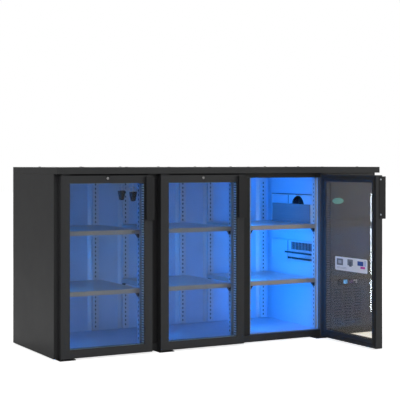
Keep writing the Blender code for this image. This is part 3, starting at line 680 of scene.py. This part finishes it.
def clad_cabinet():
    rows = (
        ("side_panel_left", 0.0008, "painted_steel", PAINT),
        ("side_panel_right", 0.0008, "painted_steel", PAINT),
        ("top_cap", 0.0005, "painted_steel", PAINT),
        ("front_header", 0.0004, "painted_steel", PAINT),
        ("base_pan", 0.0006, "zinc_steel", PAINT),
        ("inner_liner", 0.0, "stainless_steel", LINER_STEEL),
        ("back_panel", 0.0, "painted_steel", PAINT),
    )
    for node, width, slot, material in rows:
        finish(shaped(node, width), "cabinet", slot, material, node)
    for n in DOORS:
        node = f"hinge_bracket_{n}"
        finish(shaped(node, 0.0005), "cabinet", "black_steel", BLACK_STEEL, node)
    for place in ("front_left", "front_right", "back_left", "back_right"):
        finish(shaped(f"foot_{place}", 0.0008), "cabinet", "black_plastic", PLASTIC, f"foot_{place}")


def dress_hidden_pieces():
    """Inner pieces whose shape stands as it is get their finish in place."""
    rows = (
        ("insulation", FOAM),
        ("machine_panel", PANEL_PAINT),
        ("evaporator_coil", ALUMINIUM),
        ("evaporator_fan", PLASTIC),
        ("condenser", ALUMINIUM),
        ("condenser_fan", PLASTIC),
        ("compressor", BLACK_STEEL),
        ("controller", PLASTIC),
        ("key_set", WHITE_PLASTIC),
        ("key_up", WHITE_PLASTIC),
        ("key_down", WHITE_PLASTIC),
    )
    for node, material in rows:
        for slot in NODES[node].material_slots:
            slot.material = material


SLOT_PITCH = 0.022
SLOT_FIRST = 0.062
SLOT_ROWS = 35


def slot_column(low, high):
    """Cutters for a column of shelf slots between two corners of its lowest slot."""
    first = block("slot", low, high, 0)
    return [first] + [another(first, "slot", (0, 0, n * SLOT_PITCH)) for n in range(1, SLOT_ROWS)]


def steel_part(piece, wanted):
    """Gives the faces that wanted names the lining's steel."""
    piece.data.materials.append(LINER_STEEL)
    for poly in piece.data.polygons:
        if wanted(poly.center):
            poly.material_index = 1


def upright_wing(node):
    """The low sloping foot along the left-hand side of a back upright."""
    low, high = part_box(node)
    edge = low.x + 0.0002
    wing = block("wing", (edge - 0.020, high.y - 0.0062, low.z), (edge, high.y, high.z), 0)
    select_faces(wing, lambda centre, normal: normal.x < -0.9)
    bpy.ops.transform.resize(value=(1.0, 0.05, 1.0), center_override=(edge - 0.020, high.y, low.z))
    bpy.ops.object.mode_set(mode="OBJECT")
    return soften(wing, 0.0003, 2, 10)


def add_uprights():
    """Uprights and mullions with their columns of shelf slots; black strips behind the uprights' slots are
    painted shade.
    """
    # Black strips behind the slot columns: painted shade inside the hollow uprights.
    slot_shade_strips = [
        block("strip", at(0.0540, 0.0755, 0.050), at(0.0553, 0.0960, 0.845), 0.0004),
        block("strip", at(1.5011, 0.0755, 0.050), at(1.5024, 0.0960, 0.845), 0.0004),
    ]
    wings = []
    half, tall = 0.0036, 0.010
    front, back = 0.0725, 0.099
    middle = (front + back) / 2
    for node, x, depth in (
        ("front_upright_left", 0.057, 0.004),
        ("front_upright_right", 1.4994, -0.004),
    ):
        beyond = 0.002 if depth > 0 else -0.002
        cutters = slot_column(
            at(x - depth, middle - half, SLOT_FIRST), at(x + beyond, middle + half, SLOT_FIRST + tall)
        )
        finish(shaped(node, 0.0, cutters), "cabinet", "zinc_steel", ZINC, node)
    for n in (1, 2):
        plane = PLANES[n]
        cutters = []
        for side in (-1, 1):
            edge = plane + side * UPRIGHT_REACH
            cutters += slot_column(
                at(edge - side * 0.012, middle - half, SLOT_FIRST),
                at(edge + side * 0.002, middle + half, SLOT_FIRST + tall),
            )
        node = f"mullion_{n}"
        piece = finish(shaped(node, 0.0, cutters), "cabinet", "stainless_steel", BLACK_STEEL, node)
        steel_part(
            piece,
            lambda centre, plane=plane: centre.y > corner.y + 0.0722
            and (
                abs(centre.x - corner.x - plane) > UPRIGHT_REACH - 0.0005
                or centre.y > corner.y + 0.0985
                or centre.y < corner.y + 0.0727
            ),
        )
    for n in DOORS:
        for side, x in (("left", PLANES[n - 1] + 0.087), ("right", PLANES[n] - 0.087)):
            cutters = slot_column(at(x - half, 0.548, SLOT_FIRST), at(x + half, 0.554, SLOT_FIRST + tall))
            slot_shade_strips.append(block("strip", at(x - 0.012, 0.5530, 0.050), at(x + 0.012, 0.5545, 0.845), 0.0004))
            node = f"back_upright_{n}_{side}"
            finish(shaped(node, 0.0, cutters), "cabinet", "zinc_steel", ZINC, node)
            wings.append(upright_wing(node))
    finish(together("back_upright_wings", wings), "cabinet", "zinc_steel", ZINC)
    finish(together("upright_slot_painted_shade", slot_shade_strips), "cabinet", "black_rubber", RUBBER)


SHELF_TOPS = {"upper": 0.602, "lower": 0.313}


def add_shelves():
    """Folded shelves with a stiffening ridge behind the front lip, each on four clips."""
    first_clip = block("clip", at(0.0574, 0.0735, 0.560), at(0.0725, 0.094, 0.5795), 0)
    select_faces(first_clip, lambda centre, normal: normal.z < -0.9)
    bpy.ops.transform.resize(
        value=(0.2, 0.75, 1.0), center_override=at(0.0574, 0.085, 0.560)
    )
    bpy.ops.object.mode_set(mode="OBJECT")
    soften(first_clip, 0.0008, 2)
    for n in DOORS:
        left = PLANES[n - 1] + UPRIGHT_REACH
        right = PLANES[n] - UPRIGHT_REACH
        for level, top in SHELF_TOPS.items():
            node = f"shelf_{n}_{level}"
            finish(shaped(node, 0.0005), "cabinet", "zinc_steel", SHELF_COAT, node)
            clips = []
            drop = top - SHELF_TOPS["upper"]
            for y in (0.0, 0.440):
                here = another(first_clip, "clip", (left - 0.0570, y, drop))
                there = another(first_clip, "clip", (0, y, drop))
                middle = Vector((at((0.0570 + right) / 2, 0, 0).x, 0, 0))
                flip = Matrix.Scale(-1, 4, (1, 0, 0))
                there.data.transform(Matrix.Translation(middle) @ flip @ Matrix.Translation(-middle))
                there.data.flip_normals()
                clips += [here, there]
            finish(together(f"shelf_clips_{n}_{level}", clips), "cabinet", "black_plastic", PLASTIC)
    bpy.data.objects.remove(first_clip)


LAMP_LOW, LAMP_HIGH = 0.094, 0.766
GLOW_COLOUR = (0.0, 0.27, 1.0)
GLOW_POWER = {1: 2.3, 2: 2.8, 3: 7.5}


def add_lamps():
    """Frosted covers in aluminium channels with black end caps, each with a strip light for its diodes."""
    for n in DOORS:
        low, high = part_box(f"led_lamp_{n}")
        low, high = low - corner, high - corner
        x0, x1, y0, y1 = low.x, high.x, low.y, high.y
        z0, z1 = LAMP_LOW, LAMP_HIGH
        channel = block("channel", at(x0, y0, z0 + 0.006), at(x1 - 0.003, y1, z1 - 0.006), 0.0006)
        caps = [
            block("cap", at(x0, y0, z0), at(x1, y1, z0 + 0.006), 0.0012),
            block("cap", at(x0, y0, z1 - 0.006), at(x1, y1, z1), 0.0012),
        ]
        cover = block(
            f"lamp_cover_{n}",
            at(x1 - 0.0045, y0 + 0.002, z0 + 0.0062),
            at(x1, y1 - 0.002, z1 - 0.0062),
            0.0022,
            4,
        )
        finish(channel, "cabinet", "fin_aluminium", ALUMINIUM)
        channel.name = f"lamp_channel_{n}"
        finish(together(f"lamp_caps_{n}", caps), "cabinet", "black_plastic", PLASTIC)
        finish(cover, "cabinet", "lamp_cover", LAMP, f"led_lamp_{n}")
        cover.visible_diffuse = False
        strip = bpy.data.lights.new(f"blue strip {n}", "AREA")
        strip.shape = "RECTANGLE"
        strip.size = 0.014
        strip.size_y = z1 - z0 - 0.02
        strip.color = GLOW_COLOUR
        strip.energy = GLOW_POWER[n]
        strip.spread = math.radians(120)
        holder = bpy.data.objects.new(strip.name, strip)
        bpy.context.scene.collection.objects.link(holder)
        facing_right = Matrix.Rotation(math.radians(30), 3, "Z") @ Matrix(((0, 0, -1), (-1, 0, 0), (0, 1, 0)))
        middle = at(x1 + 0.0008, (y0 + y1) / 2, (z0 + z1) / 2)
        holder.matrix_world = Matrix.Translation(middle) @ facing_right.to_4x4()
        holder.visible_camera = False
        holder.visible_transmission = False


def head(name, centre, outward, radius=0.004, proud=0.0016):
    """A round screw head with a cross recess."""
    centre, outward = Vector(centre), Vector(outward)
    rounding = radius * 0.35 if proud > radius * 0.4 else proud * 0.6
    body = rod(name, centre, centre + outward * proud, radius, rounding, 20)
    across = outward.orthogonal().normalized()
    other = outward.cross(across)
    cutters = []
    for first, second in ((across, other), (other, across)):
        size = first * radius * 0.55 + second * radius * 0.14
        floor, above = centre + outward * proud * 0.45, centre + outward * proud * 1.5
        cutters.append(block("cross", floor - size, above + size, 0))
    for cutter in cutters:
        carve(body, [cutter])
    return body


def add_cooler_details():
    """Evaporator cover with its deflector in darker steel as painted shade, fan guard, screws and folds,
    bright strips as painted highlight along its edges, and black strips as painted shade in its gaps.
    """
    face = 1.500
    node = "evaporator_cover"
    first, pitch, half_bar = 0.1065, 0.01425, 0.0007
    cutters = [
        block(
            "bar side",
            at(face - 0.002, first + (n - 0.15) * pitch + half_bar, 0.4522),
            at(face + 0.003, first + (n + 0.85) * pitch - half_bar, 0.4938),
            0,
        )
        for n in range(14)
    ]
    cover = finish(shaped(node, 0.0004, cutters), "cabinet", "stainless_steel", LINER_STEEL, node)
    # The deflector's faces standing proud of the cover get the darker steel as painted shade.
    cover.data.materials.append(SHADED_STEEL)
    for poly in cover.data.polygons:
        if poly.center.x < at(face - 0.0005, 0, 0).x:
            poly.material_index = 1
    centre = at(face - 0.0012, 0.237, 0.690)
    radii = (0.0575, 0.046, 0.0345, 0.023)
    guard = [ring("ring", centre, (1, 0, 0), radius, 0.0009, 48, 6) for radius in radii]
    hub = rod("hub", centre - Vector((0.001, 0, 0)), centre + Vector((0.001, 0, 0)), 0.012, 0.0006)
    spokes = []
    for n in range(6):
        angle = math.radians(30 + 60 * n)
        out = Vector((0, math.cos(angle), math.sin(angle)))
        spokes.append(rod("spoke", centre + out * 0.011, centre + out * 0.0585, 0.0009, 0, 8))
    finish(together("fan_guard", guard + [hub] + spokes), "cabinet", "black_steel", BLACK_STEEL)
    heads = []
    for y in (0.110, 0.300, 0.495):
        heads.append(head("screw", at(face, y, 0.752), (-1, 0, 0), 0.0035, 0.0014))
        heads.append(head("screw", at(face, y, 0.401), (-1, 0, 0), 0.0035, 0.0014))
    finish(together("cooler_cover_screws", heads), "cabinet", "zinc_steel", ZINC)
    folds = [
        block("fold", at(face - 0.0030, 0.104, low), at(face + 0.0002, 0.3335, high), 0.0010)
        for low, high in ((0.4405, 0.4455), (0.4110, 0.4290), (0.3935, 0.3990))
    ]
    finish(together("cooler_cover_folds", folds), "cabinet", "stainless_steel", ALUMINIUM)
    # Bright aluminium strips along the cover's edges and round its grille: painted highlight of the rounded
    # sheet edges.
    highlight_strips = [
        block("highlight_strip", at(face - 0.0012, y, low), at(face + 0.0002, y + 0.0030, high), 0.0004)
        for y, low, high in (
            (0.5005, 0.3960, 0.5015),
            (0.5005, 0.7060, 0.7580),
            (0.5005, 0.6000, 0.6400),
            (0.3120, 0.4470, 0.4985),
        )
    ]
    highlight_strips += [
        block("highlight_strip", at(face - 0.0012, 0.104, z), at(face + 0.0002, end, z + 0.0030), 0.0004)
        for z, end in ((0.7520, 0.4990), (0.4965, 0.3110), (0.4462, 0.3110))
    ]
    finish(together("cooler_cover_painted_highlight_strips", highlight_strips), "cabinet", "stainless_steel", ALUMINIUM)
    # Black strips in the gaps between the cover's sheets, behind the return grille and along its top edge:
    # painted shade.
    shade_lines = [
        block("seam", at(face - 0.0014, 0.3310, 0.7055), at(face + 0.0002, 0.3350, 0.7515), 0.0002),
        block("seam", at(face - 0.0014, 0.3345, 0.3950), at(face + 0.0002, 0.3385, 0.4990), 0.0002),
        block("seam", at(face - 0.0010, 0.1045, 0.4300), at(face + 0.0002, 0.3690, 0.4395), 0.0002),
        block("seam", at(face - 0.0010, 0.1045, 0.4000), at(face + 0.0002, 0.3335, 0.4100), 0.0002),
        block("screen", at(face + 0.0030, 0.104, 0.450), at(face + 0.0040, 0.310, 0.496), 0.0002),
        block("edge", at(face - 0.0014, 0.1035, 0.7555), at(face + 0.0002, 0.5020, 0.7585), 0.0002),
    ]
    finish(together("cooler_cover_painted_shade_lines", shade_lines), "cabinet", "black_rubber", RUBBER)


LOUVRE_FIRST_X = 1.7052 - 0.009 - 0.065
LOUVRE_PITCH_X = 0.065
LOUVRE_LOW = 0.060
LOUVRE_PITCH_Z = 0.0154
LOUVRE_COLUMNS, LOUVRE_ROWS = 3, 13
PANEL_FACE = 0.0425


def add_machine_front():
    """Pressed hoods over the louvre slots, the oval badge and the controller's window."""
    tall, proud = 0.0042, 0.0034
    x = LOUVRE_FIRST_X
    hood = block(
        "hood",
        at(x - 0.024, PANEL_FACE - proud, LOUVRE_LOW + 0.0058),
        at(x + 0.024, PANEL_FACE + 0.0002, LOUVRE_LOW + 0.0058 + tall),
        0,
    )
    select_faces(hood, lambda centre, normal: normal.z > 0.9)
    bpy.ops.transform.resize(value=(0.90, 0.08, 1.0), center_override=at(x, PANEL_FACE, 0))
    bpy.ops.object.mode_set(mode="OBJECT")
    soften(hood, 0.0011, 2, 30)
    hoods = []
    for column in range(LOUVRE_COLUMNS):
        for row in range(LOUVRE_ROWS):
            hoods.append(another(hood, "hood", (column * LOUVRE_PITCH_X, 0, row * LOUVRE_PITCH_Z)))
    bpy.data.objects.remove(hood)
    # Black strips under the hoods: painted shade in the louvre slots.
    half = 0.0228
    shade = block(
        "shade",
        at(x - half, PANEL_FACE - 0.0003, LOUVRE_LOW - 0.0008),
        at(x + half, PANEL_FACE + 0.0003, LOUVRE_LOW + 0.0056),
        0.0001,
        1,
    )
    shades = [
        another(shade, "shade", (column * LOUVRE_PITCH_X, 0, row * LOUVRE_PITCH_Z))
        for column in range(LOUVRE_COLUMNS)
        for row in range(LOUVRE_ROWS)
    ]
    bpy.data.objects.remove(shade)
    finish(together("louvre_slot_painted_shade", shades), "cabinet", "black_rubber", RUBBER)
    finish(together("louvre_hoods", hoods), "cabinet", "painted_steel", PANEL_PAINT)
    middle = at(1.631, PANEL_FACE, 0.7245)
    badge = rod("badge", middle, middle - Vector((0, 0.002, 0)), 0.036, 0.0007, 48)
    flat = Matrix.Diagonal((1, 1, 0.46, 1))
    badge.data.transform(Matrix.Translation(middle) @ flat @ Matrix.Translation(-middle))
    select_faces(badge, lambda centre, normal: normal.y < -0.9)
    bpy.ops.mesh.inset(thickness=0.0016, depth=0.0)
    bpy.ops.mesh.inset(thickness=0.0004, depth=-0.0005)
    bpy.ops.object.mode_set(mode="OBJECT")
    finish(badge, "cabinet", "chrome", ENAMEL)
    window = block("controller_window", at(1.6645, 0.0374, 0.277), at(1.6915, 0.0386, 0.299), 0.0005)
    finish(window, "cabinet", "black_plastic", DISPLAY)
    second = block("controller_legend", at(1.6980, 0.0374, 0.277), at(1.7280, 0.0386, 0.299), 0.0005)
    finish(second, "cabinet", "black_plastic", DIM_DISPLAY)
    screws = [
        head("screw", at(x, PANEL_FACE, z), (0, -1, 0), 0.0045, 0.0018)
        for x in (1.556, 1.854)
        for z in (0.030, 0.450, 0.850)
    ]
    finish(together("machine_panel_screws", screws), "cabinet", "black_steel", BLACK_STEEL)


def add_fittings():
    """Two small sensors hanging on looped leads below the first compartment's ceiling."""
    dark, leads = [], []
    for x, y, z in ((0.3890, 0.130, 0.7690), (0.4420, 0.110, 0.7630)):
        dark.append(rod("sensor", at(x, y, z + 0.024), at(x, y, z - 0.024), 0.0200, 0.0055, 28, 0.0120))
        dark.append(ring("sensor rim", at(x, y, z + 0.018), (0, 0, 1), 0.0195, 0.0012, 28, 8))
        leads.append(rod("lead", at(x, y, z + 0.0235), at(x, y, 0.850), 0.0022, 0.0004, 12))
        leads.append(rod("lead boss", at(x, y, 0.843), at(x, y, 0.8515), 0.008, 0.0012, 20))
        for side in (-1, 1):
            loop = at(x + side * 0.0105, y - 0.004, z + 0.034)
            leads.append(ring("loop", loop, (side * 0.5, -1, 0.3), 0.0115, 0.0017, 24, 8))
    finish(together("sensors", dark), "cabinet", "black_plastic", PLASTIC)
    finish(together("sensor_leads", leads), "cabinet", "black_plastic", WHITE_PLASTIC)


# Doors

GLASS_EDGE = 0.034  # from a door's edge to the edge of its glass
GLASS_LOW, GLASS_HIGH = 0.041, 0.8405
PANE = 0.004
OUTER_PANE, INNER_PANE = 0.006, 0.0333  # from the door's outer face to each pane


def glazing(door):
    """Two panes held apart by a perforated spacer."""
    body = f"door_{door}"
    a0, a1 = GLASS_EDGE, DOOR_WIDTH - GLASS_EDGE
    inner = 0.010
    panes = [
        block(
            "pane",
            door_at(door, a0, OUTER_PANE, GLASS_LOW),
            door_at(door, a1, OUTER_PANE + PANE, GLASS_HIGH),
            0.0006,
        ),
        block(
            "pane",
            door_at(door, a0 + inner, INNER_PANE, GLASS_LOW + inner),
            door_at(door, a1 - 0.0003, INNER_PANE + PANE, GLASS_HIGH - inner),
            0.0006,
        ),
    ]
    clear = HAZY_GLASS if door == 3 else GLASS
    finish(together(f"door_{door}_panes", panes), body, "clear_glass", clear, f"door_{door}_glass")
    wide, near, far = 0.0105, 0.0103, 0.0298
    low, high = GLASS_LOW + 0.001, GLASS_HIGH - 0.001
    bars = [
        block("bar", door_at(door, begin, near, below), door_at(door, end, far, above), 0.0008)
        for begin, end, below, above in (
            (a0 + 0.001, a0 + wide, low, high),
            (a1 - wide, a1 - 0.001, low, high),
            (a0 + wide, a1 - wide, low, GLASS_LOW + wide),
            (a0 + wide, a1 - wide, GLASS_HIGH - wide, high),
        )
    ]
    # The open door's spacer takes the darkened copy as painted shade; the closed doors' take the blue copy as
    # painted lamplight.
    spacer = SHADED_SPACER if door == 3 else BLUE_LIT_SPACER
    finish(together(f"door_{door}_spacer", bars), body, "fin_aluminium", spacer)


def gasket(door):
    """A magnetic gasket: its outer lip carries a groove all round."""
    node = f"door_{door}_gasket"
    obj = shaped(node, 0.0)
    inward = (door_at(door, 0, 1, 0) - door_at(door, 0, 0, 0)).normalized()
    select_faces(obj, lambda centre, normal: normal.dot(inward) > 0.9)
    bpy.ops.mesh.inset(thickness=0.0035, depth=0.0, use_even_offset=True)
    bpy.ops.mesh.inset(thickness=0.0012, depth=-0.0016, use_even_offset=True)
    bpy.ops.object.mode_set(mode="OBJECT")
    finish(obj, f"door_{door}", "black_rubber", RUBBER, node)


def lock(door):
    """A round barrel in a rim, with its key slot and a marker dot."""
    low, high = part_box(f"door_{door}_lock")
    centre = (low + high) / 2
    out = (door_at(door, 0, 0, 0) - door_at(door, 0, 1, 0)).normalized()
    face = centre + out * (0.013 + 0.002)
    rim = ring("rim", face - out * 0.0010, out, 0.0079, 0.0010, 36, 8)
    collar = rod("collar", face - out * 0.030, face - out * 0.0014, 0.0088, 0.0005, 36)
    barrel = rod("barrel", face - out * 0.008, face - out * 0.0006, 0.0062, 0.0006, 36)
    side = Vector((0, 0, 1))
    across = out.cross(side)
    half_slit = across * 0.0006 + side * 0.0042
    slit = block("slit", face - out * 0.004 - half_slit, face + out * 0.002 + half_slit, 0)
    carve(barrel, [slit])
    dot = rod("dot", face - out * 0.0012, face, 0.0011, 0.0002, 16)
    dot.data.transform(Matrix.Translation((side - across) * 0.0045))
    node = f"door_{door}_lock"
    finish(together(f"{node}_barrel", [barrel]), f"lock_{door}", "chrome", CHROME, node)
    finish(together(f"{node}_collar", [collar, rim, dot]), f"lock_{door}", "chrome", BLACK_STEEL)


def handle(door):
    node = f"door_{door}_handle"
    finish(shaped(node, 0.0006), f"door_{door}", "black_steel", BLACK_STEEL, node)
    edge = (door_at(door, 1, 0, 0) - door_at(door, 0, 0, 0)).normalized()
    low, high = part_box(node)
    screws = []
    for z in (0.847, 0.673):
        centre = door_at(door, 0.4763, 0.011, z)
        screws.append(head("screw", centre, edge, 0.0042, 0.0012))
    finish(together(f"door_{door}_handle_screws", screws), f"door_{door}", "zinc_steel", ZINC)


def card():
    """The card on the inside of the open door's glass."""
    face = 1.4976
    low, high = at(face - 0.0006, -0.3914, 0.3745), at(face, -0.1168, 0.4445)
    obj = block("door_3_card", low, high, 0.0)
    only(obj)
    bpy.ops.object.mode_set(mode="EDIT")
    bpy.ops.mesh.select_mode(type="EDGE")
    bpy.ops.mesh.select_all(action="DESELECT")
    bpy.ops.object.mode_set(mode="OBJECT")
    for edge in obj.data.edges:
        ends = [obj.data.vertices[v].co for v in edge.vertices]
        edge.select = abs(ends[0].x - ends[1].x) > 1e-5
    bpy.ops.object.mode_set(mode="EDIT")
    bpy.ops.mesh.bevel(offset=0.007, segments=5, affect="EDGES")
    bpy.ops.object.mode_set(mode="OBJECT")
    origin = Vector((low.x, high.y, low.z))
    finish(obj, "door_3", "lamp_cover", label_finish(origin, (high.y - low.y, high.z - low.z)))


def add_doors():
    for door in DOORS:
        node = f"door_{door}_frame"
        rebate = block(
            "rebate",
            door_at(door, DOOR_WIDTH - 0.0440, 0.0302, GLASS_LOW + 0.010),
            door_at(door, DOOR_WIDTH - GLASS_EDGE, 0.0450, GLASS_HIGH - 0.010),
            0,
        )
        finish(shaped(node, 0.0009, [rebate]), f"door_{door}", "door_paint", DOOR_PAINT, node)
        glazing(door)
        gasket(door)
        handle(door)
        lock(door)
    card()


# Room, light and camera


def seen_straight(nodes):
    """1 for what the camera sees directly or through glass, 0 for what lights the object."""
    path = nodes.add("ShaderNodeLightPath").outputs
    bounced = nodes.maths("ADD", path["Diffuse Depth"], path["Glossy Depth"])
    clear = nodes.maths("LESS_THAN", bounced, 0.5)
    through = nodes.maths("MULTIPLY", path["Is Transmission Ray"], clear)
    return nodes.maths("MAXIMUM", path["Is Camera Ray"], through)


def add_floor():
    start()
    bpy.ops.mesh.primitive_plane_add(size=60, location=(0, 0, 0))
    floor = bpy.context.object
    floor.name = "floor"
    made = bpy.data.materials.new("pale floor")
    made.use_nodes = True
    nodes = Nodes(made.node_tree)
    shader = made.node_tree.nodes["Principled BSDF"]
    shader.inputs["Base Color"].default_value = (0.88, 0.88, 0.88, 1)
    shader.inputs["Roughness"].default_value = 0.9
    shader.inputs["Specular IOR Level"].default_value = 0.1
    glow = nodes.add("ShaderNodeEmission")
    glow.inputs["Strength"].default_value = 0.80
    both = nodes.add("ShaderNodeAddShader")
    pick = nodes.add("ShaderNodeMixShader")
    nodes.join(shader.outputs[0], both.inputs[0])
    nodes.join(glow.outputs[0], both.inputs[1])
    nodes.join(seen_straight(nodes), pick.inputs["Fac"])
    nodes.join(shader.outputs[0], pick.inputs[1])
    nodes.join(both.outputs[0], pick.inputs[2])
    nodes.join(pick.outputs[0], made.node_tree.nodes["Material Output"].inputs["Surface"])
    floor.data.materials.append(made)


def add_light():
    world = bpy.data.worlds.new("pale room")
    bpy.context.scene.world = world
    world.use_nodes = True
    nodes = Nodes(world.node_tree)
    tree = world.node_tree
    dim = tree.nodes["Background"]
    dim.inputs["Color"].default_value = (1, 1, 1, 1)
    dim.inputs["Strength"].default_value = 0.30
    bright = nodes.add("ShaderNodeBackground")
    bright.inputs["Color"].default_value = (1, 1, 1, 1)
    bright.inputs["Strength"].default_value = 1.0
    pick = nodes.add("ShaderNodeMixShader")
    nodes.join(seen_straight(nodes), pick.inputs["Fac"])
    nodes.join(dim.outputs[0], pick.inputs[1])
    nodes.join(bright.outputs[0], pick.inputs[2])
    nodes.join(pick.outputs[0], tree.nodes["World Output"].inputs["Surface"])
    for name, place, size, power in (
        ("key", (-2.2, -4.2, 3.4), 3.0, 70),
        ("fill", (3.6, -3.4, 2.6), 3.0, 32),
        ("top", (0.2, 0.4, 4.2), 2.6, 30),
        ("back", (1.5, 4.5, 2.8), 3.0, 50),
    ):
        light = bpy.data.lights.new(name, "AREA")
        light.shape = "SQUARE"
        light.size = size
        light.energy = power
        holder = bpy.data.objects.new(name, light)
        bpy.context.scene.collection.objects.link(holder)
        holder.location = place
        aim = Vector((0, 0.1, 0.45)) - Vector(place)
        holder.rotation_euler = aim.to_track_quat("-Z", "Y").to_euler()


def add_camera():
    camera = bpy.data.cameras.new("camera")
    camera.sensor_width = 36
    camera.lens = 100.9
    camera.shift_y = -0.0898
    holder = bpy.data.objects.new("camera", camera)
    bpy.context.scene.collection.objects.link(holder)
    holder.location = at(-1.916, -4.904, 0.923)
    holder.rotation_euler = (math.radians(90), 0, math.radians(-28.61))
    bpy.context.scene.camera = holder


bpy.context.scene.view_settings.view_transform = "Standard"
add_camera()
clad_cabinet()
dress_hidden_pieces()
add_uprights()
add_shelves()
add_lamps()
add_cooler_details()
add_machine_front()
add_fittings()
add_doors()
add_floor()
add_light()
start()
